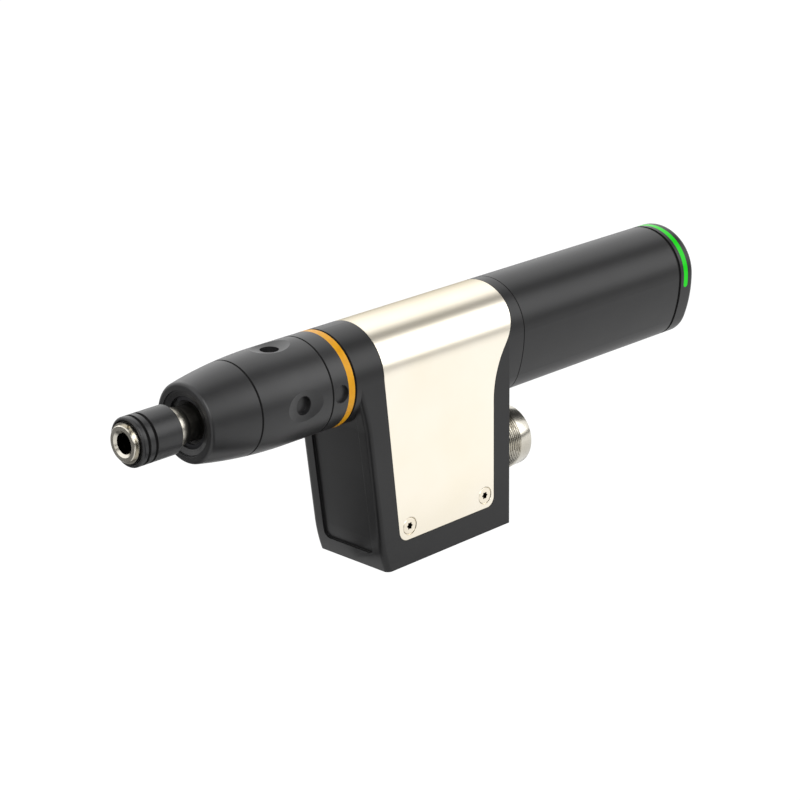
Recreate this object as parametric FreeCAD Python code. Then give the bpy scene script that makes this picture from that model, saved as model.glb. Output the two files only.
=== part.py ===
import FreeCAD, Part
import math
import os
from FreeCAD import Vector as V

# Robot screwdriving spindle, in millimetres.
# +X runs along the spindle from the bit socket to the end cap, +Z is up, the foot hangs down.
# x = 0 is where the socket's round guide starts, inside the chamfer of its mouth.

# Fits: radial gaps, and the end gap beside a part that turns
slide_gap = 0.10
running_gap = 0.03
seat_gap = 0.02
turning_end_gap = 0.40

# Outer lengths, one after another along the spindle
nose_start = 25.6
nose_length = 19.6
housing_length = 31.6
lock_ring_length = 7.5
colour_ring_width = 3.3
frame_length = 86.4
tube_length = 91.6
cap_gap = 0.8
cap_length = 8.5

# Outer form
body_r = 17.5
seam_width = 0.3
seam_depth = 0.4
ogive_r = 188.0
ogive_length = 36.7
tube_depth = 26.0
tube_corner_r = 13.0
tube_flat = 4.2

# Bit holder
hex_across_flats = 6.35
hex_depth = 16.0
guide_r = 3.6
guide_length = 2.4
mouth_chamfer = 0.7
mouth_flare = 1.0
holder_r = 6.2
holder_edge = 0.25
shoulder_r = 7.4
shoulder_start = 14.8
shoulder_length = 2.0
dome_r = 6.9
dome_length = 2.6
dome_round = 3.6
neck_r = 6.3
holder_ring_start = 0.4
holder_ring_width = 1.1
holder_ring_r = 6.93
holder_ring_depth = 0.6
holder_ring_gap = 1.2
holder_ring_gap_angle = 70.0
ball_r = 1.75
ball_x = 8.3
ball_bite = 0.42

# Release sleeve
sleeve_r = 8.6
sleeve_start = 1.3
sleeve_end = 18.1
sleeve_travel = 2.5
sleeve_edge = 1.0
sleeve_mouth_r = 7.6
sleeve_stop_r = 7.0
sleeve_relief = 1.0
sleeve_chamber_r = 7.6
sleeve_groove_places = (2.05, 5.15)
sleeve_groove_width = 0.75
sleeve_groove_depth = 0.7
land_width = 2.9
release_margin = 0.7
spring_wire_r = 0.3
spring_turns = 2.5

# Nose cone
nose_face_r = body_r - 4.8
nose_rim = 1.2
mouth_r = nose_face_r - 1.3
mouth_step = 0.5
mouth_cone = 0.7
mouth_depth = 1.7
seal_bore_r = 9.1
circlip_width = 0.8
circlip_bite = 0.35
circlip_inner_r = 7.6
circlip_gap = 4.0
circlip_gap_angle = 141.0
seal_cone = 0.9
spigot_r = body_r - 2.9
spigot_length = 6.5

# Spindle bearings, back to back with a spacer, held by a nut
bearing_in_r = 6.0
bearing_out_r = 10.5
bearing_width = 5.0
bearing_ring_wall = 1.0
bearing_ball_count = 10
bearing_spacer_length = 8.0
nut_width = 2.0
nut_in_r = 8.5
land_r = 7.0
tail_wall = 0.7

# Planetary gears: both stages are alike and share one ring gear, and fill the housing's neck
sun_teeth = 12
planet_teeth = 12
ring_teeth = 36
pressure_angle = 25.0
backlash = 0.07
planet_count = 3
face_width = 7.2
planet_pin_r = 1.5
sun_bore_r = 1.75
flank_steps = 3
ring_gear_wall = 1.05
union_wall = 1.8
carrier_disc = 2.8
carrier_hub_length = 3.2
carrier_hub_r = 7.0

# Gear housing
shoulder_lip = 0.75
seat_hole_r = 3.3
seat_hole_depth = 3.2
seat_x = 19.0
seat_count = 4
scoop_r = 22.3
scoop_depth = 1.5
union_neck_r = body_r - 3.0
union_neck_length = 3.5
union_ring_start = 2.1
union_ring_width = 1.1
union_ring_bite = 0.55
union_ring_gap = 3.0
union_ring_gap_angle = -60.0

# Lock ring
lock_bore_r = body_r - 2.2
union_ring_r = lock_bore_r - 0.15
lock_lip = 2.0
spanner_hole_r = 3.2
spanner_hole_depth = 1.4
spanner_hole_x = 4.1
spanner_hole_count = 3

# Frame: barrel, foot and rear collar
main_bore_r = body_r - 2.5
frame_seam_depth = 0.8
front_bore_end = 2.7
foot_back = frame_length - 7.9
foot_depth = 72.6
foot_top_inset = 0.7
foot_knee = (5.7, 18.0)
foot_hollow = 0.45
foot_toe = (11.1, foot_depth - 12.1)
foot_toe_bulge = 0.35
foot_bottom_inset = 14.2
foot_front_round = 2.0
pocket_half_width = 12.3
pocket_bottom_margin = 6.2
pocket_depth = 1.0
pocket_corner_r = 2.5
foot_wall = 3.2
foot_roof = 19.0
window_margin = 9.0
window_top = foot_roof + 4.5
window_base = 22.1
window_bottom = foot_depth - window_base
window_corner_r = 3.0
collar_wall = 3.2
tube_spigot_length = 5.0
wire_way = (6.0, 17.0, 23.0)

# Saddle cover
cover_thickness = 1.0
cover_gap = 0.2
cover_front = 13.8
cover_lean = 7.0
cover_back_low = foot_back - 8.6
cover_back_high = frame_length - 5.2
cover_s_start = 22.0
cover_s_low_r = 34.0
cover_s_high = 14.0
cover_bottom = foot_depth - 9.7
cover_corner_r = 3.4
cover_screw_front = 25.6
cover_screw_back = cover_back_low - 4.7
cover_screw_z = 5.0 - cover_bottom
screw_head_r = 3.1
screw_head_rim = 0.35
screw_sunk = 0.1
screw_head_room = 0.3
screw_r = 1.5
screw_length = 7.0
screw_boss_r = 4.0
screw_socket_r = 1.15
screw_socket_depth = 1.1

# Motor
flange_width = 6.0
motor_bearing_in_r = 2.5
motor_bearing_out_r = 6.5
motor_bearing_width = 4.0
motor_bearing_wall = 1.1
motor_ball_count = 7
flange_web = 1.0
rear_flange_back = 12.7
coil_room = 5.0
coil_overhang = 3.4
stator_height = 7.2
stator_in_r = main_bore_r - stator_height
coil_corner = 0.75
stator_teeth = 6
tooth_width = 3.2
tooth_tip = 1.4
yoke = 2.6
slot_opening = 1.6
coil_wall = 2.0
coil_clear = 0.15
rotor_core_r = 4.0
air_gap = 0.6
magnet_r = stator_in_r - air_gap
magnet_inset = 2.0
encoder_post_length = 4.6
encoder_post_r = 1.5
encoder_post_circle_r = main_bore_r - 4.0
encoder_board_r = main_bore_r - 1.5
encoder_magnet_r = 4.0
encoder_magnet_width = 2.0

# Torque transducer
transducer_flange = 2.0
transducer_rear_flange = 3.5
transducer_tube_r = 9.6
transducer_tube_wall = 1.1
transducer_front_bore_r = 5.0

# Rear tube, end cap and light
tube_wall = 1.6
tube_rail_width = 3.0
tube_rail_height = 2.5
board_z = -12.0
cap_edge_r = 2.4
cap_wall = 2.0
cap_spigot_length = 4.5
cap_spigot_wall = 1.55
seal_recess = 0.5
light_start = 2.0
light_width = 2.4
light_depth = 1.3
light_low_z = -3.0

# Boards
board_thickness = 1.6
power_board_room = 19.6
power_board_side_room = 4.0
power_board_length = tube_length - power_board_room
power_board_width = 2 * (body_r - power_board_side_room)
power_board_start = 9.0
capacitor_r = 5.0
capacitor_height = 13.0
capacitor_places = ((12.0, -6.5), (12.0, 6.5), (24.0, -6.5), (24.0, 6.5))
drive_board_length = 36.0
drive_board_inset = 2.5
drive_board_width = power_board_width - 2 * drive_board_inset
drive_board_start = 34.0
spacer_r = 2.0
spacer_length = 14.0
interface_board_y = 9.0
interface_board_inset = 2.5
interface_board_height = window_bottom - window_top - 2 * interface_board_inset
interface_post_r = 1.8

# Connector on the rear of the foot
connector_height = 25.8
connector_z = connector_height - foot_depth
connector_thread_r = 12.0
connector_lip_r = 11.75
connector_flange_r = 13.4
connector_flange = 1.6
gasket_thickness = 0.8
gasket_r = 13.0
connector_thread_length = 10.8
connector_lip_length = 6.0
connector_bore_r = 9.6
connector_stem_r = 10.6
connector_stem_length = 9.0
connector_nut_room = 1.3
connector_nut_r = body_r - foot_wall - connector_nut_room
connector_nut_width = 3.0
insert_face_depth = 8.5
insert_length = 17.0
contact_r = 0.8
contact_circle_r = 5.6
contact_count = 6
contact_tail = 2.5

# Stations that follow from the lengths
x_nose = nose_start
x_housing = x_nose + nose_length
x_lock = x_housing + housing_length
x_colour = x_lock + lock_ring_length
x_frame = x_colour + colour_ring_width
x_tube = x_frame + frame_length
x_seam = x_tube + tube_length
x_cap = x_seam + cap_gap
x_end = x_cap + cap_length
x_straight = x_nose + ogive_length
x_spigot = x_housing + spigot_length
x_nut = x_spigot - nut_width
x_rear_bearing = x_nut - bearing_width
x_front_bearing = x_rear_bearing - bearing_spacer_length - bearing_width
x_disc_2 = x_nut + carrier_hub_length
x_planets_2 = x_disc_2 + carrier_disc + turning_end_gap
x_planets_1 = x_lock - face_width - 2 * turning_end_gap
x_disc_1 = x_planets_1 - turning_end_gap - carrier_disc
x_ring_gear = x_planets_2 - turning_end_gap
x_union_front = x_lock + union_neck_length + turning_end_gap / 4
x_shoulder = x_frame + front_bore_end
x_rear_flange = x_tube - rear_flange_back - flange_width
x_foot_back = x_frame + foot_back

# Gear radii: the module is what fills the neck of the housing
ring_gear_r = union_neck_r - union_wall - slide_gap
module = (ring_gear_r - ring_gear_wall) / (ring_teeth / 2 + 1.25)
sun_r = module * sun_teeth / 2
planet_r = module * planet_teeth / 2
planet_circle_r = sun_r + planet_r
ring_r = module * ring_teeth / 2
addendum = module
dedendum = 1.25 * module
ring_tip_r = ring_r - 0.8 * module
ring_root_r = ring_r + dedendum
housing_bore_r = ring_gear_r + seat_gap
front_bore_r = ring_gear_r + slide_gap
tail_r = planet_circle_r - planet_pin_r - tail_wall
disc_r = ring_tip_r - 0.2


# Basic shapes

def closed_wire(points, place):
    # A point is (u, v) after a straight run, or (u, v, mu, mv) after an arc through (mu, mv).
    edges = []
    last = points[-1][:2]
    for point in points:
        here = point[:2]
        if len(point) == 4:
            edges.append(Part.Arc(place(*last), place(*point[2:]), place(*here)).toShape())
        else:
            edges.append(Part.makeLine(place(*last), place(*here)))
        last = here
    return Part.Wire(edges)


def turned(points):
    # A solid of revolution about the spindle's axis, from (x, radius) points.
    face = Part.Face(closed_wire(points, lambda x, r: V(x, r, 0)))
    return face.revolve(V(0, 0, 0), V(1, 0, 0), 360)


def rod(x0, x1, r, y=0.0, z=0.0):
    return Part.makeCylinder(r, x1 - x0, V(x0, y, z), V(1, 0, 0))


def tube(x0, x1, r_out, r_in, y=0.0, z=0.0):
    return rod(x0, x1, r_out, y, z).cut(rod(x0, x1, r_in, y, z))


def block(x0, x1, y0, y1, z0, z1):
    return Part.makeBox(x1 - x0, y1 - y0, z1 - z0, V(x0, y0, z0))


def side_prism(points, half_width):
    # A side outline of (x, z) points, extruded across the part.
    face = Part.Face(closed_wire(points, lambda x, z: V(x, -half_width, z)))
    return face.extrude(V(0, 2 * half_width, 0))


def about_axis(shape, angle):
    copy = shape.copy()
    copy.rotate(V(0, 0, 0), V(1, 0, 0), angle)
    return copy


def ring_of(shape, count, start=0.0):
    return [about_axis(shape, start + i * 360.0 / count) for i in range(count)]


def cut_all(shape, tools):
    return shape.cut(tools).removeSplitter()


def fuse_all(shapes):
    return shapes[0].fuse(shapes[1:]).removeSplitter()


def round_edges(shape, radius, wanted):
    return shape.makeFillet(radius, [edge for edge in shape.Edges if wanted(edge)])


def on_ogive(x):
    reach = max(0.0, x_straight - x)
    return body_r - ogive_r + math.sqrt(ogive_r ** 2 - reach ** 2)


def ogive_run(x0, x1):
    # The arc of the nose outline that ends at x1.
    middle = (x0 + x1) / 2
    return (x1, on_ogive(x1), middle, on_ogive(middle))


def egg_solid(x0, x1, inset):
    # The rear tube's section: a half circle on top, two long side arcs, and a rounder bottom.
    half_flat = tube_flat / 2
    corner_z = tube_corner_r - tube_depth
    spare = body_r - tube_corner_r
    centre = (spare ** 2 - half_flat ** 2 - corner_z ** 2) / (2 * (half_flat - spare))
    side_r = centre + body_r
    join = math.atan2(-corner_z, centre + half_flat)
    side = side_r - inset
    corner = tube_corner_r - inset
    bottom = inset - tube_depth
    turn = (join + math.pi / 2) / 2
    join_y = centre - side * math.cos(join)
    join_z = -side * math.sin(join)
    side_mid = (centre - side * math.cos(join / 2), -side * math.sin(join / 2))
    corner_mid = (-half_flat - corner * math.cos(turn), corner_z - corner * math.sin(turn))
    top = body_r - inset
    points = [
        (-top, 0.0, 0.0, top),
        (join_y, join_z, side_mid[0], side_mid[1]),
        (-half_flat, bottom, corner_mid[0], corner_mid[1]),
        (half_flat, bottom),
        (-join_y, join_z, -corner_mid[0], corner_mid[1]),
        (top, 0.0, -side_mid[0], side_mid[1]),
    ]
    face = Part.Face(closed_wire(points, lambda y, z: V(x0, y, z)))
    return face.extrude(V(x1 - x0, 0, 0))


def egg_shell(x0, x1, inset, wall):
    return egg_solid(x0, x1, inset).cut(egg_solid(x0, x1, inset + wall))


def arch_prism(x0, x1, half_width, low_z):
    # The frame's section: a half circle of this half width on top of straight sides.
    points = [
        (half_width, 0.0),
        (-half_width, 0.0, 0.0, half_width),
        (-half_width, low_z),
        (half_width, low_z),
    ]
    face = Part.Face(closed_wire(points, lambda y, z: V(x0, y, z)))
    return face.extrude(V(x1 - x0, 0, 0))


# Gear teeth

def involute(angle):
    return math.tan(angle) - angle


def tooth_outline(teeth, root_r, tip_r, thickness_change, phase):
    # Points round a gear; each flank is the involute in a few steps, radial below the base circle.
    pitch_r = module * teeth / 2
    base_r = pitch_r * math.cos(math.radians(pressure_angle))
    half = math.pi / (2 * teeth) + thickness_change / (2 * pitch_r)
    at_pitch = half + involute(math.radians(pressure_angle))
    flank_start = max(base_r, root_r)
    flank = [root_r] if root_r < base_r else []
    flank += [flank_start + (tip_r - flank_start) * i / flank_steps for i in range(flank_steps + 1)]
    points = []
    for tooth in range(teeth):
        middle = 2 * math.pi * tooth / teeth + phase
        for side in (-1, 1):
            for r in (flank if side < 0 else flank[::-1]):
                rolled = involute(math.acos(min(1.0, base_r / max(r, base_r))))
                angle = middle + side * (at_pitch - rolled)
                points.append((r * math.cos(angle), r * math.sin(angle)))
    return points


def toothed(x0, x1, points, y=0.0, z=0.0):
    ring = [V(x0, y + a, z + b) for a, b in points]
    face = Part.Face(Part.makePolygon(ring + ring[:1]))
    return face.extrude(V(x1 - x0, 0, 0))


def sun_gear(x0, x1):
    points = tooth_outline(sun_teeth, sun_r - dedendum, sun_r + addendum, -backlash / 2, 0.0)
    return toothed(x0, x1, points).cut(rod(x0, x1, sun_bore_r + seat_gap))


def planet_gear(x0):
    # A gap faces the sun's tooth, so the planet is half a tooth turned.
    points = tooth_outline(
        planet_teeth, planet_r - dedendum, planet_r + addendum, -backlash / 2, math.pi / planet_teeth
    )
    gear = toothed(x0, x0 + face_width, points, planet_circle_r)
    return gear.cut(rod(x0, x0 + face_width, planet_pin_r + running_gap, planet_circle_r))


def ring_gear():
    # Its spaces are the teeth of an outer gear of the same count, half a tooth turned.
    points = tooth_outline(ring_teeth, ring_tip_r, ring_root_r, backlash / 2, math.pi / ring_teeth)
    blank = rod(x_ring_gear, x_lock, ring_gear_r)
    return blank.cut(toothed(x_ring_gear, x_lock, points))


def planet_pins(x0, x1):
    return ring_of(rod(x0, x1, planet_pin_r, planet_circle_r), planet_count)


def carrier_2():
    hub = turned([
        (x_nut, tail_r + seat_gap),
        (x_nut, carrier_hub_r),
        (x_disc_2, carrier_hub_r),
        (x_disc_2, disc_r),
        (x_disc_2 + carrier_disc, disc_r),
        (x_disc_2 + carrier_disc, tail_r + seat_gap),
    ])
    pins = planet_pins(x_disc_2 + carrier_disc / 2, x_planets_2 + face_width + turning_end_gap)
    return fuse_all([hub] + pins)


def carrier_1():
    disc = rod(x_disc_1, x_disc_1 + carrier_disc, disc_r)
    stub = rod(x_planets_2, x_disc_1, sun_bore_r)
    pins = planet_pins(x_disc_1 + carrier_disc / 2, x_planets_1 + face_width)
    return fuse_all([disc, stub] + pins)


# Ball bearings

def bearing_parts(x0, in_r, out_r, width, wall, count):
    middle_r = (in_r + out_r) / 2
    this_ball_r = (out_r - in_r) / 2 - wall - running_gap
    inner = tube(x0, x0 + width, in_r + wall, in_r + seat_gap)
    outer = tube(x0, x0 + width, out_r - seat_gap, out_r - wall)
    ball = Part.makeSphere(this_ball_r, V(x0 + width / 2, middle_r, 0))
    return inner, outer, ring_of(ball, count)


def bearing_pair(first_x, second_x, in_r, out_r, width, wall, count):
    inner_a, outer_a, balls_a = bearing_parts(first_x, in_r, out_r, width, wall, count)
    inner_b, outer_b, balls_b = bearing_parts(second_x, in_r, out_r, width, wall, count)
    return [inner_a, inner_b], [outer_a, outer_b], balls_a + balls_b


# Bit holder, spindle and sleeve

def hexagon(x0, x1, across_flats):
    r = across_flats / math.sqrt(3)
    turns = [math.radians(60 * i) for i in range(7)]
    corners = [V(x0, r * math.cos(turn), r * math.sin(turn)) for turn in turns]
    return Part.Face(Part.makePolygon(corners)).extrude(V(x1 - x0, 0, 0))


def bit_holder():
    ring_end = holder_ring_start + holder_ring_width
    shoulder_end = shoulder_start + shoulder_length
    dome_end = shoulder_end + dome_length
    face_x = -mouth_chamfer
    blank = turned([
        (face_x, 0),
        (face_x, holder_r - holder_edge),
        (face_x + holder_edge, holder_r),
        (holder_ring_start, holder_r),
        (holder_ring_start, holder_r - holder_ring_depth),
        (ring_end, holder_r - holder_ring_depth),
        (ring_end, holder_r),
        (shoulder_start, holder_r),
        (shoulder_start, shoulder_r),
        (shoulder_end, shoulder_r),
        (shoulder_end, dome_r),
        (dome_end, dome_r),
        (dome_end + dome_round, neck_r, dome_end + 0.6 * dome_round, neck_r + 0.68 * (dome_r - neck_r)),
        (x_front_bearing, neck_r),
        (x_front_bearing, 0),
    ])
    guide = turned([
        (2 * face_x, 0),
        (2 * face_x, guide_r + mouth_flare),
        (face_x, guide_r + mouth_flare),
        (0, guide_r),
        (guide_length, guide_r),
        (guide_length, 0),
    ])
    socket = hexagon(0, guide_length + hex_depth, hex_across_flats)
    ball_hole_r = ball_r + running_gap
    ball_hole = Part.makeCylinder(ball_hole_r, 2 * holder_r, V(ball_x, 0, -holder_r), V(0, 0, 1))
    spindle_hole = rod(spindle_start() - turning_end_gap, x_front_bearing, spindle_spigot_r() + seat_gap)
    return cut_all(blank, [guide, socket, ball_hole, spindle_hole])


def spindle_spigot_r():
    return 0.64 * neck_r


def spindle_start():
    return shoulder_start + shoulder_length + dome_length + dome_round


def holder_ring():
    ring = tube(
        holder_ring_start,
        holder_ring_start + holder_ring_width - seat_gap,
        holder_ring_r,
        holder_r - holder_ring_depth + seat_gap,
    )
    return ring.cut(gap_cutter(holder_ring_gap_angle, holder_ring_r, holder_ring_gap))


def gap_cutter(angle, reach, width):
    # The gap of a spring ring, at an angle from -Y towards +Z.
    cutter = block(0, x_frame, -2 * reach, 0, -width / 2, width / 2)
    return about_axis(cutter, -angle)


def detent_balls():
    centre_r = hex_across_flats / 2 - ball_bite + ball_r
    return [Part.makeSphere(ball_r, V(ball_x, 0, side * centre_r)) for side in (-1, 1)]


def release_sleeve():
    land_end = ball_x + ball_r + slide_gap
    land_start = land_end - land_width
    release_start = land_start - sleeve_travel - release_margin
    bore = holder_r + slide_gap
    stop_x = holder_ring_start + holder_ring_width + slide_gap / 2
    sleeve = turned([
        (sleeve_start, sleeve_mouth_r),
        (sleeve_start, sleeve_r - 0.7 * sleeve_edge),
        (
            sleeve_start + sleeve_edge,
            sleeve_r,
            sleeve_start + 0.3 * sleeve_edge,
            sleeve_r - 0.2 * sleeve_edge,
        ),
        (sleeve_end - sleeve_edge / 2, sleeve_r),
        (sleeve_end, sleeve_r - sleeve_edge / 2),
        (sleeve_end, sleeve_chamber_r),
        (land_end, sleeve_chamber_r),
        (land_end, bore),
        (land_start, bore),
        (land_start - (sleeve_chamber_r - bore) / 2, sleeve_chamber_r - slide_gap),
        (release_start, sleeve_chamber_r - slide_gap),
        (release_start, bore),
        (stop_x, bore),
        (stop_x, sleeve_stop_r),
        (stop_x + sleeve_relief, sleeve_stop_r),
        (stop_x + sleeve_relief, sleeve_mouth_r),
    ])
    grooves = []
    for place in sleeve_groove_places:
        x0 = sleeve_start + place
        grooves.append(tube(x0, x0 + sleeve_groove_width, sleeve_r + 1, sleeve_r - sleeve_groove_depth))
    return cut_all(sleeve, grooves)


def sleeve_spring():
    # A short coil between the sleeve's land and the holder's shoulder.
    land_end = ball_x + ball_r + slide_gap
    start = land_end + spring_wire_r + seat_gap
    height = shoulder_start - seat_gap - spring_wire_r - start
    coil_r = (holder_r + sleeve_chamber_r) / 2
    helix = Part.makeHelix(height / spring_turns, height, coil_r)
    path = Part.Wire(helix.Edges)
    section = Part.Wire(Part.makeCircle(spring_wire_r, V(coil_r, 0, 0), V(0, 1, 0)))
    coil = path.makePipeShell([section], True, True)
    coil.rotate(V(0, 0, 0), V(0, 1, 0), 90)
    coil.translate(V(start, 0, 0))
    return coil


def output_spindle():
    spigot = spindle_spigot_r()
    return turned([
        (spindle_start(), 0),
        (spindle_start(), spigot),
        (x_front_bearing, spigot),
        (x_front_bearing, bearing_in_r),
        (x_front_bearing + bearing_width, bearing_in_r),
        (x_front_bearing + bearing_width, land_r),
        (x_rear_bearing, land_r),
        (x_rear_bearing, bearing_in_r),
        (x_nut, bearing_in_r),
        (x_nut, tail_r),
        (x_disc_2 + carrier_disc, tail_r),
        (x_disc_2 + carrier_disc, 0),
    ])


# Nose

def nose_cone():
    rim_x = x_nose + nose_rim
    rim_r = on_ogive(rim_x)
    bore = bearing_out_r
    groove_x = x_nose + mouth_depth + slide_gap
    cone_end = x_nose + mouth_step + mouth_cone
    shell = turned([
        (x_nose, mouth_r),
        (x_nose, nose_face_r),
        (rim_x, rim_r, x_nose + 0.3 * nose_rim, nose_face_r + 0.7 * (rim_r - nose_face_r)),
        ogive_run(rim_x, x_housing),
        (x_housing, spigot_r),
        (x_spigot, spigot_r),
        (x_spigot, bore),
        (x_front_bearing, bore),
        (x_front_bearing, seal_bore_r),
        (cone_end, seal_bore_r),
        (x_nose + mouth_step, mouth_r - mouth_step),
        (x_nose + mouth_step, mouth_r),
    ])
    groove = tube(groove_x, groove_x + circlip_width + slide_gap, seal_bore_r + circlip_bite, seal_bore_r - 1)
    return shell.cut(groove)


def mouth_circlip():
    x0 = x_nose + mouth_depth + 1.5 * slide_gap
    ring = tube(x0, x0 + circlip_width, seal_bore_r + circlip_bite - slide_gap / 2, circlip_inner_r)
    return ring.cut(gap_cutter(circlip_gap_angle, seal_bore_r + 1, circlip_gap))


def spindle_seal():
    x0 = x_nose + mouth_depth + circlip_width + 2 * slide_gap
    lip = neck_r + slide_gap / 2
    return turned([
        (x0, circlip_inner_r),
        (x0, seal_bore_r - seat_gap),
        (x_front_bearing - slide_gap, seal_bore_r - seat_gap),
        (x_front_bearing - slide_gap, lip),
        (x0 + seal_cone, lip),
    ])


def bearing_spacer():
    x0 = x_front_bearing + bearing_width
    return tube(x0, x_rear_bearing, bearing_out_r - seat_gap, bearing_out_r - bearing_ring_wall)


def bearing_nut():
    return tube(x_nut, x_spigot, bearing_out_r - seat_gap, nut_in_r)


# Gear housing and union

def gear_housing():
    neck_end = x_lock + union_neck_length
    seam_r = on_ogive(x_housing) - seam_depth
    shell = turned([
        (x_housing, spigot_r + slide_gap / 2),
        (x_housing, seam_r),
        (x_housing + seam_width, seam_r),
        (x_housing + seam_width, on_ogive(x_housing + seam_width)),
        ogive_run(x_housing + seam_width, x_straight),
        (x_lock, body_r),
        (x_lock, union_neck_r),
        (neck_end, union_neck_r),
        (neck_end, housing_bore_r),
        (x_ring_gear, housing_bore_r),
        (x_ring_gear, housing_bore_r - shoulder_lip),
        (x_spigot + slide_gap, housing_bore_r - shoulder_lip),
        (x_spigot + slide_gap, spigot_r + slide_gap / 2),
    ])
    seat_centre = x_housing + seat_x
    scoop_centre_r = body_r - scoop_depth + scoop_r
    scoop = Part.makeSphere(scoop_r, V(seat_centre, -scoop_centre_r, 0))
    hole = Part.makeCylinder(
        seat_hole_r, body_r, V(seat_centre, seat_hole_depth - body_r, 0), V(0, -1, 0)
    )
    groove_x = x_lock + union_ring_start
    groove = tube(groove_x, groove_x + union_ring_width, body_r, union_neck_r - union_ring_bite)
    return cut_all(shell, ring_of(scoop, seat_count) + ring_of(hole, seat_count) + [groove])


def housing_snap_ring():
    x0 = x_lock + union_ring_start + seat_gap
    inner = union_neck_r - union_ring_bite + seat_gap
    ring = tube(x0, x0 + union_ring_width - 2 * seat_gap, union_ring_r, inner)
    return ring.cut(gap_cutter(union_ring_gap_angle, union_ring_r, union_ring_gap))


def lock_ring():
    shell = turned([
        (x_lock, union_neck_r + slide_gap),
        (x_lock, body_r - seam_depth),
        (x_lock + seam_width, body_r - seam_depth),
        (x_lock + seam_width, body_r),
        (x_colour, body_r),
        (x_colour, lock_bore_r),
        (x_lock + lock_lip, lock_bore_r),
        (x_lock + lock_lip, union_neck_r + slide_gap),
    ])
    hole = Part.makeCylinder(
        spanner_hole_r,
        body_r,
        V(x_lock + spanner_hole_x, spanner_hole_depth - body_r, 0),
        V(0, -1, 0),
    )
    return cut_all(shell, ring_of(hole, spanner_hole_count))


def identification_ring():
    return tube(x_colour, x_frame, body_r, lock_bore_r)


def torque_transducer():
    front_end = x_lock + transducer_flange
    rear_start = x_shoulder - transducer_rear_flange
    tube_in_r = transducer_tube_r - transducer_tube_wall
    return turned([
        (x_lock, transducer_front_bore_r),
        (x_lock, ring_gear_r),
        (front_end, ring_gear_r),
        (front_end, transducer_tube_r),
        (rear_start, transducer_tube_r),
        (rear_start, front_bore_r - seat_gap),
        (x_shoulder, front_bore_r - seat_gap),
        (x_shoulder, tube_in_r),
        (front_end, tube_in_r),
        (front_end, transducer_front_bore_r),
    ])


# Frame and cover

def foot_outline(inset=0.0, bottom=foot_depth):
    top_x = x_frame + foot_top_inset + inset
    knee_x = x_frame + foot_knee[0] + inset
    toe_x = x_frame + foot_toe[0] + inset
    heel_x = x_frame + foot_bottom_inset + inset
    knee_z = -foot_knee[1]
    toe_z = -foot_toe[1]
    return [
        (x_foot_back, 0.0),
        (top_x, 0.0),
        (knee_x, knee_z, (top_x + knee_x) / 2 + foot_hollow, knee_z / 2),
        (toe_x, toe_z),
        (heel_x, -bottom, (toe_x + heel_x) / 2 - foot_toe_bulge, (toe_z - bottom) / 2),
        (x_foot_back, -bottom),
    ]


def foot_block():
    foot = side_prism(foot_outline(), body_r)
    front_limit = x_frame + foot_bottom_inset + 1.0

    def is_front_edge(edge):
        box = edge.BoundBox
        flat = box.YMax - box.YMin < 0.001
        return flat and box.XMax < front_limit and box.ZMax - box.ZMin > 1.0

    foot = round_edges(foot, foot_front_round, is_front_edge)
    pocket_bottom = -foot_depth + pocket_bottom_margin
    pocket = side_prism(foot_outline(pocket_depth), pocket_half_width)
    in_front = block(x_frame, x_foot_back, -pocket_half_width, pocket_half_width, pocket_bottom, 0)
    in_front = round_edges(
        in_front,
        pocket_corner_r,
        lambda edge: edge.BoundBox.XLength > foot_wall and edge.BoundBox.ZMax < pocket_bottom + 0.01,
    )
    return foot.cut(in_front.cut(pocket))


def cover_outline(gap):
    # The cover's side outline, grown by gap; above the spindle's axis both edges stand upright.
    front_top = x_frame + cover_front - gap
    front_low = front_top + cover_lean + gap
    back_low = x_frame + cover_back_low + gap
    back_high = x_frame + cover_back_high + gap
    bottom = -cover_bottom - gap
    r = cover_corner_r
    s_start = -cover_s_start
    shift = back_high - back_low
    rise = cover_s_high + cover_s_start
    high_r = (shift ** 2 + rise ** 2) / (2 * shift) - cover_s_low_r
    turn = math.asin(rise / (cover_s_low_r + high_r))
    meet_x = back_low + cover_s_low_r * (1 - math.cos(turn))
    meet_z = s_start + cover_s_low_r * math.sin(turn)
    low_mid = (
        back_low + cover_s_low_r * (1 - math.cos(turn / 2)),
        s_start + cover_s_low_r * math.sin(turn / 2),
    )
    high_mid = (
        back_high - high_r * (1 - math.cos(turn / 2)),
        cover_s_high - high_r * math.sin(turn / 2),
    )
    slope = cover_lean / cover_bottom
    diagonal = r * (1 - math.sqrt(0.5))
    return [
        (front_top, 2 * body_r),
        (front_top, 0.0),
        (front_low - slope * r, bottom + r),
        (front_low + r, bottom, front_low + diagonal, bottom + diagonal),
        (back_low - r, bottom),
        (back_low, bottom + r, back_low - diagonal, bottom + diagonal),
        (back_low, s_start),
        (meet_x, meet_z, low_mid[0], low_mid[1]),
        (back_high, cover_s_high, high_mid[0], high_mid[1]),
        (back_high, 2 * body_r),
    ]


def screw_places():
    places = []
    for side in (-1, 1):
        for x in (x_frame + cover_screw_front, x_frame + cover_screw_back):
            places.append((side, x))
    return places


def screw_cutter(side, x, gap):
    # The form of one cover screw: rim, countersunk head and shank. Its hole is this form grown by gap.
    inward = V(0, -side, 0)
    top = V(x, side * (body_r - screw_sunk), cover_screw_z)
    under_rim = V(x, side * (body_r - screw_sunk - screw_head_rim), cover_screw_z)
    rim = Part.makeCylinder(screw_head_r + gap, screw_head_rim, top, inward)
    head = Part.makeCone(screw_head_r + gap, screw_r + gap, screw_head_r - screw_r, under_rim, inward)
    shank = Part.makeCylinder(screw_r + gap, screw_length + gap, top, inward)
    return fuse_all([rim, head, shank])


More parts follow.
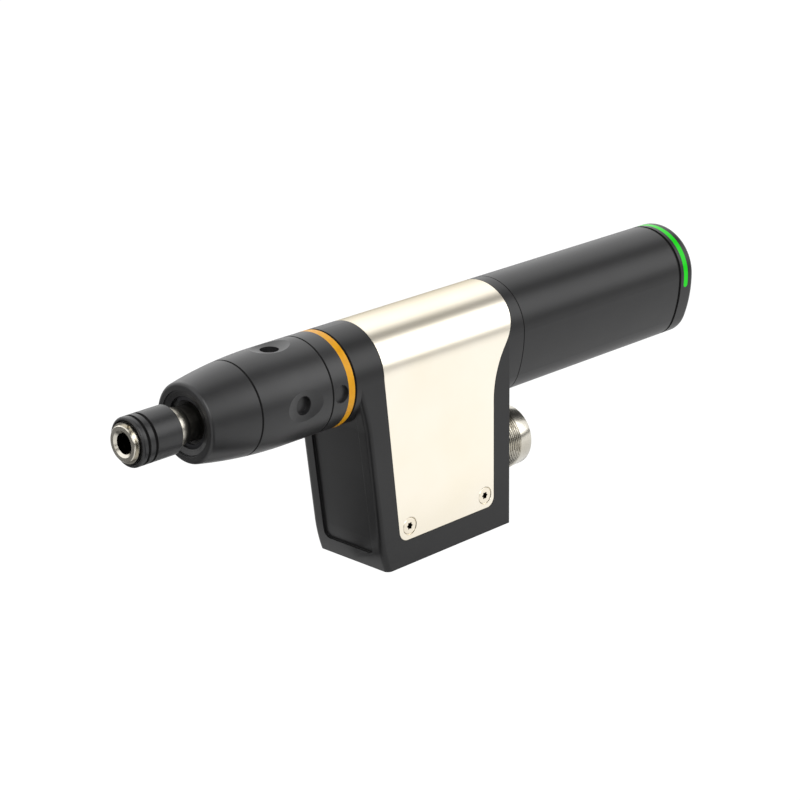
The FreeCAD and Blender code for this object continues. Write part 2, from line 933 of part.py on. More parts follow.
def screw_hole(side, x):
    # The screw's hole, wider round the rim, so that the head stands in a shadow gap.
    room = Part.makeCylinder(
        screw_head_r + screw_head_room,
        screw_sunk + screw_head_rim,
        V(x, side * body_r, cover_screw_z),
        V(0, -side, 0),
    )
    return screw_cutter(side, x, slide_gap).fuse(room)


def cover_plate():
    low_z = -cover_bottom - 1
    x0 = x_frame
    x1 = x_tube
    sheet = arch_prism(x0, x1, body_r, low_z)
    sheet = sheet.cut(arch_prism(x0, x1, body_r - cover_thickness, low_z - 1))
    plate = sheet.common(side_prism(cover_outline(0.0), 2 * body_r))
    return cut_all(plate, [screw_hole(side, x) for side, x in screw_places()])


def cover_screws():
    screws = []
    for side, x in screw_places():
        screw = screw_cutter(side, x, 0.0)
        depth = screw_sunk + screw_socket_depth
        socket = Part.makeCylinder(screw_socket_r, depth, V(x, side * body_r, cover_screw_z), V(0, -side, 0))
        screws.append(screw.cut(socket))
    return screws


def foot_cavity():
    inner = side_prism(foot_outline(foot_wall + pocket_depth, foot_depth - foot_wall), body_r - foot_wall)
    inner = inner.common(
        block(x_frame, x_foot_back - foot_wall, -body_r, body_r, -foot_depth, -foot_roof)
    )
    bosses = []
    for x in (x_frame + cover_screw_front, x_frame + cover_screw_back):
        bosses.append(Part.makeCylinder(screw_boss_r, 2 * body_r, V(x, -body_r, cover_screw_z), V(0, 1, 0)))
    return inner.cut(bosses)


def foot_windows():
    # The openings under the cover, through both side walls.
    x0 = x_frame + cover_front + window_margin
    x1 = x_frame + cover_back_low - window_margin
    hole = block(x0, x1, -body_r, body_r, -window_bottom, -window_top)
    return round_edges(hole, window_corner_r, lambda edge: edge.BoundBox.YLength > body_r)


def interface_posts():
    # Short posts between the foot's wall and its board, outside the windows.
    posts = []
    wall_y = body_r - foot_wall
    board_y = interface_board_y + board_thickness
    for x in interface_post_xs():
        for share in (-1 / 3, 1 / 3):
            z = interface_board_z() + share * interface_board_height
            posts.append(
                Part.makeCylinder(interface_post_r, wall_y - board_y, V(x, board_y, z), V(0, 1, 0))
            )
    return posts


def interface_board_z():
    return -(window_top + window_bottom) / 2


def interface_post_xs():
    front = x_frame + cover_front + window_margin - 1.5 * interface_post_r
    back = x_frame + cover_back_low - window_margin + 1.5 * interface_post_r
    return front, back


def interface_board():
    front, back = interface_post_xs()
    z0 = interface_board_z() - interface_board_height / 2
    return block(
        front - interface_post_r,
        back + interface_post_r,
        interface_board_y,
        interface_board_y + board_thickness,
        z0,
        z0 + interface_board_height,
    )


def main_frame():
    barrel = rod(x_frame, x_foot_back, body_r)
    collar = egg_solid(x_foot_back, x_tube, 0.0)
    rear_spigot = egg_solid(x_tube, x_tube + tube_spigot_length, tube_wall + slide_gap / 2)
    front_spigot = rod(x_union_front, x_frame, lock_bore_r - slide_gap / 2)
    solid = fuse_all([foot_block(), barrel, collar, rear_spigot, front_spigot])
    width, way_top, way_bottom = wire_way
    recess = side_prism(cover_outline(cover_gap), 2 * body_r)
    recess = recess.cut(arch_prism(x_frame, x_tube, body_r - cover_thickness, -2 * foot_depth))
    tools = [
        recess,
        rod(x_union_front, x_shoulder, front_bore_r),
        rod(x_shoulder, x_tube + tube_spigot_length, main_bore_r),
        egg_solid(x_foot_back + collar_wall, x_tube + tube_spigot_length, collar_wall),
        foot_cavity(),
        foot_windows(),
        block(
            x_foot_back - 2 * foot_wall, x_foot_back + 2 * collar_wall, -width, width, -way_bottom, -way_top
        ),
        tube(x_frame, x_frame + seam_width, 2 * body_r, body_r - frame_seam_depth),
        rod(x_foot_back - 2 * foot_wall, x_foot_back, connector_stem_r + slide_gap, 0.0, connector_z),
    ]
    tools += [screw_hole(side, x) for side, x in screw_places()]
    return fuse_all([cut_all(solid, tools)] + interface_posts())


# Motor

def motor_flange(x0, opens_back):
    # A disc with a bearing seat that opens towards the stator.
    web_x = x0 if opens_back else x0 + flange_width - flange_web
    seat_x0 = x0 + flange_web if opens_back else x0
    disc = rod(x0, x0 + flange_width, main_bore_r - seat_gap)
    seat = rod(seat_x0, seat_x0 + flange_width - flange_web, motor_bearing_out_r)
    bore = rod(web_x, web_x + flange_web, motor_bearing_out_r - 2 * flange_web)
    return disc.cut([seat, bore])


def motor_rear_flange():
    flange = motor_flange(x_rear_flange, False)
    x0 = x_rear_flange + flange_width
    post = rod(x0, x0 + encoder_post_length, encoder_post_r, encoder_post_circle_r)
    return fuse_all([flange] + ring_of(post, 3, 90))


def motor_bearing_xs():
    front = x_shoulder + flange_web
    back = x_rear_flange + flange_width - flange_web - motor_bearing_width
    return front, back


def stator_ends():
    return x_shoulder + flange_width + coil_room, x_rear_flange - coil_room


def stator_core():
    x0, x1 = stator_ends()
    slot_in_r = stator_in_r + tooth_tip
    slot_out_r = main_bore_r - yoke
    core = tube(x0, x1, main_bore_r - seat_gap, stator_in_r)
    tooth = block(x0, x1, 0, main_bore_r, -tooth_width / 2, tooth_width / 2)
    slots = tube(x0, x1, slot_out_r, slot_in_r).cut(ring_of(tooth, stator_teeth))
    opening = block(x0, x1, stator_in_r - 1, slot_in_r + 1, -slot_opening / 2, slot_opening / 2)
    return core.cut([slots] + ring_of(opening, stator_teeth, 180.0 / stator_teeth))


def stator_windings():
    x0, x1 = stator_ends()
    inner_r = stator_in_r + tooth_tip + coil_clear
    outer_r = main_bore_r - yoke - coil_corner
    half = tooth_width / 2 + coil_clear
    side = half + coil_wall
    outer = block(x0 - coil_overhang, x1 + coil_overhang, inner_r, outer_r, -side, side)
    hole = block(x0 - coil_clear, x1 + coil_clear, inner_r, outer_r, -half, half)
    return ring_of(outer.cut(hole), stator_teeth)


def rotor_shaft():
    front_x, back_x = motor_bearing_xs()
    core_x0 = front_x + motor_bearing_width
    end_x = x_rear_flange + flange_width
    return turned([
        (x_planets_1, 0),
        (x_planets_1, sun_bore_r),
        (x_planets_1 + face_width, sun_bore_r),
        (x_planets_1 + face_width, motor_bearing_in_r),
        (core_x0, motor_bearing_in_r),
        (core_x0, rotor_core_r),
        (back_x, rotor_core_r),
        (back_x, motor_bearing_in_r),
        (end_x, motor_bearing_in_r),
        (end_x, 0),
    ])


def rotor_magnets():
    x0, x1 = stator_ends()
    return tube(x0 + magnet_inset, x1 - magnet_inset, magnet_r, rotor_core_r + seat_gap)


def encoder_magnet():
    x0 = x_rear_flange + flange_width
    return rod(x0, x0 + encoder_magnet_width, encoder_magnet_r)


def encoder_board():
    x0 = x_rear_flange + flange_width + encoder_post_length
    return rod(x0, x0 + board_thickness, encoder_board_r)


# Rear tube, cap and light

def rear_tube():
    shell = egg_shell(x_tube + seam_width, x_seam, 0.0, tube_wall)
    seam = egg_shell(x_tube, x_tube + seam_width, seam_depth, tube_wall - seam_depth)
    inside = egg_solid(x_tube, x_seam, tube_wall)
    rail_start = x_tube + tube_spigot_length + 1
    rail_end = x_seam - cap_spigot_length - 1
    rails = []
    rail_y = power_board_width / 2 - tube_rail_width
    for side in (-1, 1):
        y0, y1 = sorted((side * rail_y, side * body_r))
        rails.append(block(rail_start, rail_end, y0, y1, board_z - tube_rail_height, board_z).common(inside))
    return fuse_all([shell, seam] + rails)


def light_band():
    # A strip round the top of the cap, with half-round ends.
    x0 = x_cap + light_start
    x1 = x0 + light_width
    shell = egg_shell(x0, x1, 0.0, light_depth)
    above = block(x0, x1, -2 * body_r, 2 * body_r, light_low_z, 2 * body_r)
    strip = shell.common(above)
    around = egg_shell(x_cap, x_end, 0.0, light_depth)
    for side in (-1, 1):
        peg = Part.makeCylinder(
            light_width / 2, body_r, V((x0 + x1) / 2, 0, light_low_z), V(0, side, 0)
        )
        strip = strip.fuse(peg.common(around))
    return strip.removeSplitter()


def end_cap():
    cap = egg_solid(x_cap, x_end, 0.0)
    cap = round_edges(cap, cap_edge_r, lambda edge: edge.BoundBox.XMin > x_end - 0.01)
    hollow = egg_solid(x_cap, x_end - cap_wall, cap_wall)
    spigot = egg_shell(x_seam - cap_spigot_length, x_cap, tube_wall + slide_gap / 2, cap_spigot_wall)
    return fuse_all([cap.cut([hollow, light_band()]), spigot])


def cap_seal():
    return egg_shell(x_seam, x_cap, seal_recess, tube_wall - seal_recess)


def light_board():
    inset = tube_wall + slide_gap / 2 + cap_spigot_wall + slide_gap / 2
    x0 = x_seam - cap_spigot_length / 2
    return egg_solid(x0, x0 + board_thickness, inset)


# Boards in the rear tube

def power_board():
    x0 = x_tube + power_board_start
    half = power_board_width / 2
    return block(x0, x0 + power_board_length, -half, half, board_z, board_z + board_thickness)


def capacitors():
    x0 = x_tube + power_board_start
    z0 = board_z + board_thickness
    cans = []
    for along, across in capacitor_places:
        cans.append(Part.makeCylinder(capacitor_r, capacitor_height, V(x0 + along, across, z0)))
    return cans


def drive_board_corner():
    return x_tube + power_board_start + drive_board_start, -drive_board_width / 2


def board_spacers():
    x0, y0 = drive_board_corner()
    z0 = board_z + board_thickness
    spacers = []
    for x in (x0 + spacer_r, x0 + drive_board_length - spacer_r):
        for y in (y0 + spacer_r, y0 + drive_board_width - spacer_r):
            spacers.append(Part.makeCylinder(spacer_r, spacer_length, V(x, y, z0)))
    return spacers


def drive_board():
    x0, y0 = drive_board_corner()
    z0 = board_z + board_thickness + spacer_length
    return block(x0, x0 + drive_board_length, y0, -y0, z0, z0 + board_thickness)


# Connector

def connector_stations():
    flange_x = x_foot_back + gasket_thickness
    thread_x = flange_x + connector_flange
    lip_x = thread_x + connector_thread_length
    return flange_x, thread_x, lip_x, lip_x + connector_lip_length


def connector_shell():
    flange_x, thread_x, lip_x, end_x = connector_stations()
    stem_x = x_foot_back - connector_stem_length
    pieces = [
        rod(stem_x, flange_x, connector_stem_r, 0.0, connector_z),
        rod(flange_x, thread_x, connector_flange_r, 0.0, connector_z),
        rod(thread_x, lip_x, connector_thread_r, 0.0, connector_z),
        rod(lip_x, end_x, connector_lip_r, 0.0, connector_z),
    ]
    return fuse_all(pieces).cut(rod(stem_x, end_x, connector_bore_r, 0.0, connector_z))


def connector_gasket():
    return tube(
        x_foot_back, x_foot_back + gasket_thickness, gasket_r, connector_stem_r + seat_gap, 0.0, connector_z
    )


def connector_nut():
    x1 = x_foot_back - foot_wall
    return tube(x1 - connector_nut_width, x1, connector_nut_r, connector_stem_r + seat_gap, 0.0, connector_z)


def contact_places():
    places = [(0.0, connector_z)]
    for i in range(contact_count):
        angle = 2 * math.pi * i / contact_count
        places.append((contact_circle_r * math.cos(angle), connector_z + contact_circle_r * math.sin(angle)))
    return places


def insert_stations():
    face_x = connector_stations()[3] - insert_face_depth
    return face_x - insert_length, face_x


def connector_insert():
    x0, x1 = insert_stations()
    body = rod(x0, x1, connector_bore_r - seat_gap, 0.0, connector_z)
    return body.cut([rod(x0, x1, contact_r + seat_gap, y, z) for y, z in contact_places()])


def connector_contacts():
    x0, x1 = insert_stations()
    return [rod(x0 - contact_tail, x1 - contact_r, contact_r, y, z) for y, z in contact_places()]


# Write one file for each node

def save(name, shape):
    if isinstance(shape, list):
        shape = shape[0] if len(shape) == 1 else Part.makeCompound(shape)
    shape.exportStep(os.path.join("parts", name + ".step"))


def save_gears():
    save("ring_gear", ring_gear())
    save("sun_gear_1", sun_gear(x_planets_1, x_planets_1 + face_width))
    save("sun_gear_2", sun_gear(x_planets_2, x_disc_1))
    save("carrier_1", carrier_1())
    save("carrier_2", carrier_2())
    for stage, x0 in ((1, x_planets_1), (2, x_planets_2)):
        for letter, gear in zip("abc", ring_of(planet_gear(x0), planet_count)):
            save("planet_%d%s" % (stage, letter), gear)


def save_bearings():
    inner, outer, balls = bearing_pair(
        x_front_bearing, x_rear_bearing, bearing_in_r, bearing_out_r, bearing_width, bearing_ring_wall,
        bearing_ball_count,
    )
    save("spindle_bearing_inner_rings", inner)
    save("spindle_bearing_outer_rings", outer)
    save("spindle_bearing_balls", balls)
    front_x, back_x = motor_bearing_xs()
    inner, outer, balls = bearing_pair(
        front_x, back_x, motor_bearing_in_r, motor_bearing_out_r, motor_bearing_width, motor_bearing_wall,
        motor_ball_count,
    )
    save("motor_bearing_inner_rings", inner)
    save("motor_bearing_outer_rings", outer)
    save("motor_bearing_balls", balls)


def main():
    os.makedirs("parts", exist_ok=True)
    save("bit_holder", bit_holder())
    save("holder_snap_ring", holder_ring())
    save("detent_balls", detent_balls())
    save("release_sleeve", release_sleeve())
    save("sleeve_spring", sleeve_spring())
    save("output_spindle", output_spindle())
    save("nose_cone", nose_cone())
    save("mouth_circlip", mouth_circlip())
    save("spindle_seal", spindle_seal())
    save("bearing_spacer", bearing_spacer())
    save("bearing_nut", bearing_nut())
    save_bearings()
    save("gear_housing", gear_housing())
    save_gears()
    save("housing_snap_ring", housing_snap_ring())
    save("lock_ring", lock_ring())
    save("identification_ring", identification_ring())
    save("torque_transducer", torque_transducer())
    save("main_frame", main_frame())
    save("cover_plate", cover_plate())
    save("cover_screws", cover_screws())
    save("motor_front_flange", motor_flange(x_shoulder, True))
    save("motor_rear_flange", motor_rear_flange())
    save("stator_core", stator_core())
    save("stator_windings", stator_windings())
    save("rotor_shaft", rotor_shaft())
    save("rotor_magnets", rotor_magnets())
    save("encoder_magnet", encoder_magnet())
    save("encoder_board", encoder_board())
    save("rear_tube", rear_tube())
    save("end_cap", end_cap())
    save("cap_seal", cap_seal())
    save("light_guide", light_band())
    save("light_board", light_board())
    save("power_board", power_board())
    save("capacitors", capacitors())
    save("board_spacers", board_spacers())
    save("drive_board", drive_board())
    save("interface_board", interface_board())
    save("connector_shell", connector_shell())
    save("connector_gasket", connector_gasket())
    save("connector_nut", connector_nut())
    save("connector_insert", connector_insert())
    save("connector_contacts", connector_contacts())


main()
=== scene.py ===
import math

import bmesh
import bpy
from mathutils import Euler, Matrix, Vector


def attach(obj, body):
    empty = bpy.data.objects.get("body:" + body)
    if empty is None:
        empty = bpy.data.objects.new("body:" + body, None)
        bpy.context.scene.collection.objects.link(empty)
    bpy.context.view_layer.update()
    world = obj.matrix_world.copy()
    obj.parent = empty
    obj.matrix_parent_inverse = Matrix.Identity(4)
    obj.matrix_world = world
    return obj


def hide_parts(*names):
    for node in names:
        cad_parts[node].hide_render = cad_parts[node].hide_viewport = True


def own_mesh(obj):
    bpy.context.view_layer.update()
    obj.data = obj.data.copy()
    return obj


mm = 0.001

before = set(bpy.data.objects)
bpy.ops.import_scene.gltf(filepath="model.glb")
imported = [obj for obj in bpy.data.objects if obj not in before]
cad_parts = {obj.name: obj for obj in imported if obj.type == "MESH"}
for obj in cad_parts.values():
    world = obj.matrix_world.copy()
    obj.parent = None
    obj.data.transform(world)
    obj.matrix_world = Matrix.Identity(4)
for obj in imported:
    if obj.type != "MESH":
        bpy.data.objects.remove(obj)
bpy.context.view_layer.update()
print("frame loaded:", len(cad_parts), "nodes")


# Small helpers

def hexToLinear(code):
    # sRGB hex, as read off a colour card, to the linear values that the shaders take
    parts = [int(code[i:i + 2], 16) / 255 for i in (1, 3, 5)]
    linear = [c / 12.92 if c <= 0.04045 else ((c + 0.055) / 1.055) ** 2.4 for c in parts]
    return (*linear, 1.0)


def addNode(tree, kind, settings=None, links=None):
    # one node, with settings for its inputs or its own options, and links into its inputs
    made = tree.nodes.new(kind)
    for name, value in (settings or {}).items():
        if isinstance(name, int) or name in made.inputs:
            made.inputs[name].default_value = value
        else:
            setattr(made, name, value)
    for name, source in (links or {}).items():
        tree.links.new(source, made.inputs[name])
    return made


def newMaterial(name, **shader):
    # a material with one Principled shader, whose settings may give a colour as hex
    material = bpy.data.materials.new(name)
    material.use_nodes = True
    tree = material.node_tree
    tree.nodes.clear()
    for key, value in shader.items():
        if isinstance(value, str):
            shader[key] = hexToLinear(value)
    surface = addNode(tree, "ShaderNodeBsdfPrincipled", shader)
    addNode(tree, "ShaderNodeOutputMaterial", links={"Surface": surface.outputs[0]})
    place = addNode(tree, "ShaderNodeTexCoord").outputs["Object"]
    return material, tree, surface, place


def rampBetween(tree, value, low, high, start=0.0, end=1.0):
    # spreads a pattern that runs from start to end over the range low to high
    spread = addNode(
        tree,
        "ShaderNodeMapRange",
        {"From Min": start, "From Max": end, "To Min": low, "To Max": high},
        {"Value": value},
    )
    return spread.outputs["Result"]


def mottle(tree, place, size, detail=2.0):
    # soft noise whose patches are about size metres across
    noise = addNode(tree, "ShaderNodeTexNoise", {"Scale": 1 / size, "Detail": detail}, {"Vector": place})
    return noise.outputs["Fac"]


def tint(tree, pattern, dark, light, low=0.3, high=0.7):
    # the dark colour where the pattern is below low, the light one above high, and a blend between
    colours = addNode(tree, "ShaderNodeValToRGB", links={"Fac": pattern})
    stops = colours.color_ramp.elements
    stops[0].color = hexToLinear(dark)
    stops[1].color = hexToLinear(light)
    stops[0].position = low
    stops[1].position = high
    return colours.outputs["Color"]


def bumpFrom(tree, surface, height, depth, edge=0.0):
    # depth is the relief's real height and edge the radius that corners seem to have, in metres
    links = {"Height": height}
    if edge:
        rounded = addNode(tree, "ShaderNodeBevel", {"samples": 4, "Radius": edge})
        links["Normal"] = rounded.outputs["Normal"]
    bump = addNode(tree, "ShaderNodeBump", {"Strength": 1.0, "Distance": depth}, links)
    tree.links.new(bump.outputs["Normal"], surface.inputs["Normal"])


def dimmed(tree, colour, mask, share):
    # the colour, brought down to this share where the mask is 1
    level = rampBetween(tree, mask, 1.0, share)
    scaled = addNode(tree, "ShaderNodeVectorMath", {"operation": "SCALE"}, {0: colour, "Scale": level})
    return scaled.outputs["Vector"]


def dulled(tree, roughness, mask, least=1.0):
    # the roughness, raised to at least this much where the mask is 1
    lowest = rampBetween(tree, mask, 0.0, least)
    raised = addNode(tree, "ShaderNodeMath", {"operation": "MAXIMUM"}, {0: roughness, 1: lowest})
    return raised.outputs[0]


def turningMarks(tree, place, pitch):
    # rings round the spindle's axis, left by a lathe tool that moves along X
    bandAtScaleOne = 0.314      # a wave texture of scale 1 repeats after this many metres
    settings = {
        "wave_type": "BANDS",
        "bands_direction": "X",
        "Scale": bandAtScaleOne / pitch,
        "Distortion": 0.6,
        "Detail": 1.0,
    }
    waves = addNode(tree, "ShaderNodeTexWave", settings, {"Vector": place})
    return waves.outputs["Fac"]


def nearSeam(tree, place, seams):
    # 1 on the surfaces beside the listed seams, given as place along X and half width in mm
    along = addNode(tree, "ShaderNodeSeparateXYZ", links={0: place}).outputs["X"]
    found = None
    for middle, half in seams:
        within = {"operation": "COMPARE", 1: middle * mm, 2: half * mm}
        here = addNode(tree, "ShaderNodeMath", within, {0: along}).outputs[0]
        if found is None:
            found = here
        else:
            either = addNode(tree, "ShaderNodeMath", {"operation": "MAXIMUM"}, {0: found, 1: here})
            found = either.outputs[0]
    return found


# Finishes

paintedSeamShade = {
    # painted shade darkens both sides of each seam and groove: (place along X, half width) in mm
    "blasted": [(87.75, 0.45), (174.15, 0.20), (266.0, 0.75)],
    "turned": [(3.70, 0.60), (6.80, 0.60), (45.35, 0.40), (76.95, 0.40)],
    "ring": [(87.60, 0.40)],
    "share": 0.15,          # of the surface's own colour that is left
    "ringShare": 0.01,      # less of the orange, because it is so much brighter
}

darkBody = {
    "dark": "#161617",
    "light": "#1b1b1c",
    "ior": 1.42,
    "roughness": (0.34, 0.42),
    "patch": 14 * mm,
    "grain": 0.35 * mm,     # blasting grit is 0.1 mm; drawn coarser so that it shows
    "grainDepth": 0.004 * mm,
    "edge": 0.18 * mm,
}


def blastedAnodisedAluminium():
    # aluminium, bead blasted and hard anodised: an even dark grey with a soft broad sheen
    look = darkBody
    material, tree, surface, place = newMaterial("BlastedAnodisedAluminium", IOR=look["ior"])
    patches = mottle(tree, place, look["patch"])
    grain = mottle(tree, place, look["grain"], 1.0)
    # painted shade darkens the colour beside the seams
    seamShadeMask = nearSeam(tree, place, paintedSeamShade["blasted"])
    colour = dimmed(tree, tint(tree, patches, look["dark"], look["light"]), seamShadeMask, paintedSeamShade["share"])
    tree.links.new(colour, surface.inputs["Base Color"])
    roughness = dulled(tree, rampBetween(tree, grain, *look["roughness"]), seamShadeMask)
    tree.links.new(roughness, surface.inputs["Roughness"])
    bumpFrom(tree, surface, grain, look["grainDepth"], look["edge"])
    return material


turnedBody = {
    "dark": "#212122",
    "light": "#262627",
    "ior": 1.49,
    "roughness": (0.35, 0.43),
    "patch": 9 * mm,
    "pitch": 0.30 * mm,     # tool feed of a finishing cut is 0.1 mm; drawn coarser
    "markDepth": 0.0015 * mm,
    "edge": 0.10 * mm,
}


def turnedAnodisedAluminium():
    # aluminium, turned and then hard anodised: rings of the tool show faintly under the dark grey
    look = turnedBody
    material, tree, surface, place = newMaterial("TurnedAnodisedAluminium", IOR=look["ior"])
    patches = mottle(tree, place, look["patch"])
    marks = turningMarks(tree, place, look["pitch"])
    # painted shade darkens the colour beside the seams
    seamShadeMask = nearSeam(tree, place, paintedSeamShade["turned"])
    colour = dimmed(tree, tint(tree, patches, look["dark"], look["light"]), seamShadeMask, paintedSeamShade["share"])
    tree.links.new(colour, surface.inputs["Base Color"])
    roughness = dulled(tree, rampBetween(tree, marks, *look["roughness"]), seamShadeMask)
    tree.links.new(roughness, surface.inputs["Roughness"])
    bumpFrom(tree, surface, marks, look["markDepth"], look["edge"])
    return material


orangeRing = {
    "dark": "#e9a108",
    "light": "#f2ad14",
    "ior": 1.35,
    "roughness": (0.34, 0.42),
    "patch": 3 * mm,
}


def orangeAnodisedRing():
    # aluminium, turned and dyed orange as it is anodised: an even strong colour under a soft sheen
    look = orangeRing
    material, tree, surface, place = newMaterial("OrangeAnodisedRing", IOR=look["ior"])
    patches = mottle(tree, place, look["patch"])
    # painted shade darkens the ring beside its seam almost to black
    seamShadeMask = nearSeam(tree, place, paintedSeamShade["ring"])
    colour = dimmed(tree, tint(tree, patches, look["dark"], look["light"]), seamShadeMask, paintedSeamShade["ringShare"])
    tree.links.new(colour, surface.inputs["Base Color"])
    roughness = dulled(tree, rampBetween(tree, patches, *look["roughness"]), seamShadeMask)
    tree.links.new(roughness, surface.inputs["Roughness"])
    return material


coverSheet = {
    "dark": "#f9f1df",
    "light": "#fcf5e6",
    "grazing": "#a8a49a",       # plating looks greyer where it is seen nearly edge on
    "roughness": (0.27, 0.33),
    "patch": 25 * mm,
    "grain": 0.25 * mm,         # fine blasting grit is 0.05 mm; drawn coarser
    "grainDepth": 0.0012 * mm,
    "edge": 0.08 * mm,
}


def satinNickelSheet():
    # steel sheet, fine blasted and nickel plated: warm, pale, with soft edged reflections
    look = coverSheet
    material, tree, surface, place = newMaterial(
        "SatinNickelSheet", **{"Metallic": 1.0, "Specular Tint": look["grazing"]}
    )
    patches = mottle(tree, place, look["patch"])
    grain = mottle(tree, place, look["grain"], 1.0)
    tree.links.new(tint(tree, patches, look["dark"], look["light"]), surface.inputs["Base Color"])
    tree.links.new(rampBetween(tree, grain, *look["roughness"]), surface.inputs["Roughness"])
    bumpFrom(tree, surface, grain, look["grainDepth"], look["edge"])
    return material


screwSurface = {
    "dark": "#efe6d3",
    "light": "#f5ecda",
    "roughness": (0.26, 0.34),
    "patch": 1.5 * mm,
    "socketShadeBelow": 17.25 * mm,    # the socket lies closer to the middle plane than this
    "socketShadeShare": 0.04,        # of the colour that is left in the socket
}


def nickelPlatedScrew():
    # plated steel screw heads: as warm as the cover, with painted shade that darkens their sockets
    look = screwSurface
    material, tree, surface, place = newMaterial("NickelPlatedScrew", Metallic=1.0)
    patches = mottle(tree, place, look["patch"])
    # painted shade: the socket, nearer the middle plane, keeps only a small share of its colour
    aside = addNode(tree, "ShaderNodeSeparateXYZ", links={0: place}).outputs["Y"]
    distance = addNode(tree, "ShaderNodeMath", {"operation": "ABSOLUTE"}, {0: aside}).outputs[0]
    below = {"operation": "LESS_THAN", 1: look["socketShadeBelow"]}
    shadedSocket = addNode(tree, "ShaderNodeMath", below, {0: distance}).outputs[0]
    colour = dimmed(tree, tint(tree, patches, look["dark"], look["light"]), shadedSocket, look["socketShadeShare"])
    tree.links.new(colour, surface.inputs["Base Color"])
    tree.links.new(rampBetween(tree, patches, *look["roughness"]), surface.inputs["Roughness"])
    return material


brightNickel = {
    "dark": "#c3beb2",
    "light": "#d2cec3",
    "roughness": (0.16, 0.26),
    "patch": 5 * mm,
    "pitch": 0.28 * mm,         # tool feed is 0.1 mm; drawn coarser
    "markDepth": 0.002 * mm,
    "socketRadius": 3.75 * mm,
    "socketStart": 0.02 * mm,
    "socketShadeShare": 0.02,        # of the colour that is left in the socket
    "shoulderStart": 14.0 * mm,
    "shoulderRoughness": 0.30,  # behind the sleeve the plating is left as tumbled
    "neckShadeStretch": (19.5 * mm, 22.5 * mm),     # over this stretch painted shade darkens the neck
    "neckShadeShare": 0.28,
}


def turnedNickel(name, hasSocket):
    # steel, turned and nickel plated: bright, slightly warm, with faint rings; on a bit holder, painted
    # shade darkens the socket and the neck
    look = brightNickel
    material, tree, surface, place = newMaterial(name, Metallic=1.0)
    patches = mottle(tree, place, look["patch"])
    marks = turningMarks(tree, place, look["pitch"])
    colour = tint(tree, patches, look["dark"], look["light"])
    roughness = rampBetween(tree, marks, *look["roughness"])
    if hasSocket:
        # painted shade darkens the bit socket and, behind the sleeve, the neck
        along = addNode(tree, "ShaderNodeSeparateXYZ", links={0: place}).outputs["X"]
        acrossOnly = {"operation": "MULTIPLY", 1: (0, 1, 1)}
        across = addNode(tree, "ShaderNodeVectorMath", acrossOnly, {0: place}).outputs["Vector"]
        radius = addNode(tree, "ShaderNodeVectorMath", {"operation": "LENGTH"}, {0: across})
        limits = [
            ("LESS_THAN", look["socketRadius"], radius.outputs["Value"]),
            ("GREATER_THAN", look["socketStart"], along),
            ("GREATER_THAN", look["shoulderStart"], along),
        ]
        within, behind, shoulder = [
            addNode(tree, "ShaderNodeMath", {"operation": operation, 1: limit}, {0: value}).outputs[0]
            for operation, limit, value in limits
        ]
        shadedSocket = addNode(tree, "ShaderNodeMath", {"operation": "MULTIPLY"}, {0: within, 1: behind})
        neckShade = rampBetween(tree, along, 0.0, 1.0, *look["neckShadeStretch"])
        colour = dimmed(tree, colour, shadedSocket.outputs[0], look["socketShadeShare"])
        colour = dimmed(tree, colour, neckShade, look["neckShadeShare"])
        roughness = dulled(tree, roughness, shoulder, look["shoulderRoughness"])
    tree.links.new(colour, surface.inputs["Base Color"])
    tree.links.new(roughness, surface.inputs["Roughness"])
    bumpFrom(tree, surface, marks, look["markDepth"])
    return material


metals = {
    # name: dark, light, roughness range, patch size in mm
    "GroundBearingSteel": ("#a2a3a6", "#b2b3b6", (0.18, 0.28), 4.0),        # cool, even shine
    "PhosphatedSpringSteel": ("#38383a", "#454548", (0.34, 0.46), 2.0),     # dark grey, dull
    "PolishedBearingBall": ("#d4d5d8", "#dedfe2", (0.05, 0.10), 3.0),       # like a mirror
    "MachinedAluminium": ("#c4c5c7", "#d2d3d5", (0.24, 0.36), 6.0),         # pale, soft shine
    "LaminatedCoreSteel": ("#66676a", "#77787b", (0.35, 0.50), 0.5),        # grey, from cut sheet edges
    "EnamelledCopperWire": ("#8f4a22", "#a9602f", (0.22, 0.34), 0.7),       # deep red under clear varnish
    "NickelPlatedMagnet": ("#b6b7b8", "#c6c7c8", (0.16, 0.26), 5.0),        # bright, slightly warm
    "GoldPlatedContact": ("#d9ae55", "#e6c06c", (0.15, 0.24), 1.0),         # bright warm yellow
}


def plainMetal(name):
    # small metal parts: a base tone with slight patches, and gloss that varies with them
    dark, light, roughness, patch = metals[name]
    material, tree, surface, place = newMaterial(name, Metallic=1.0)
    patches = mottle(tree, place, patch * mm, 3.0)
    tree.links.new(tint(tree, patches, dark, light), surface.inputs["Base Color"])
    tree.links.new(rampBetween(tree, patches, *roughness), surface.inputs["Roughness"])
    return material


plastics = {
    # name: dark, light, roughness range, texture size in mm, texture depth in mm, IOR
    # the texture of a mould or a glass weave is about 0.1 mm; drawn coarser
    "NitrileRubber": ("#0e0e0e", "#161616", (0.55, 0.70), 0.5, 0.010, 1.52),        # black, dull
    "GreyNitrileRubber": ("#2a2a2a", "#323232", (0.50, 0.62), 0.5, 0.008, 1.52),    # dark grey, dull
    "MouldedPolyamide": ("#141414", "#1c1c1c", (0.42, 0.55), 0.6, 0.008, 1.53),     # black, satin
    "SolderResistBoard": ("#0c3d20", "#125229", (0.22, 0.34), 1.2, 0.010, 1.55),    # glossy green lacquer
}


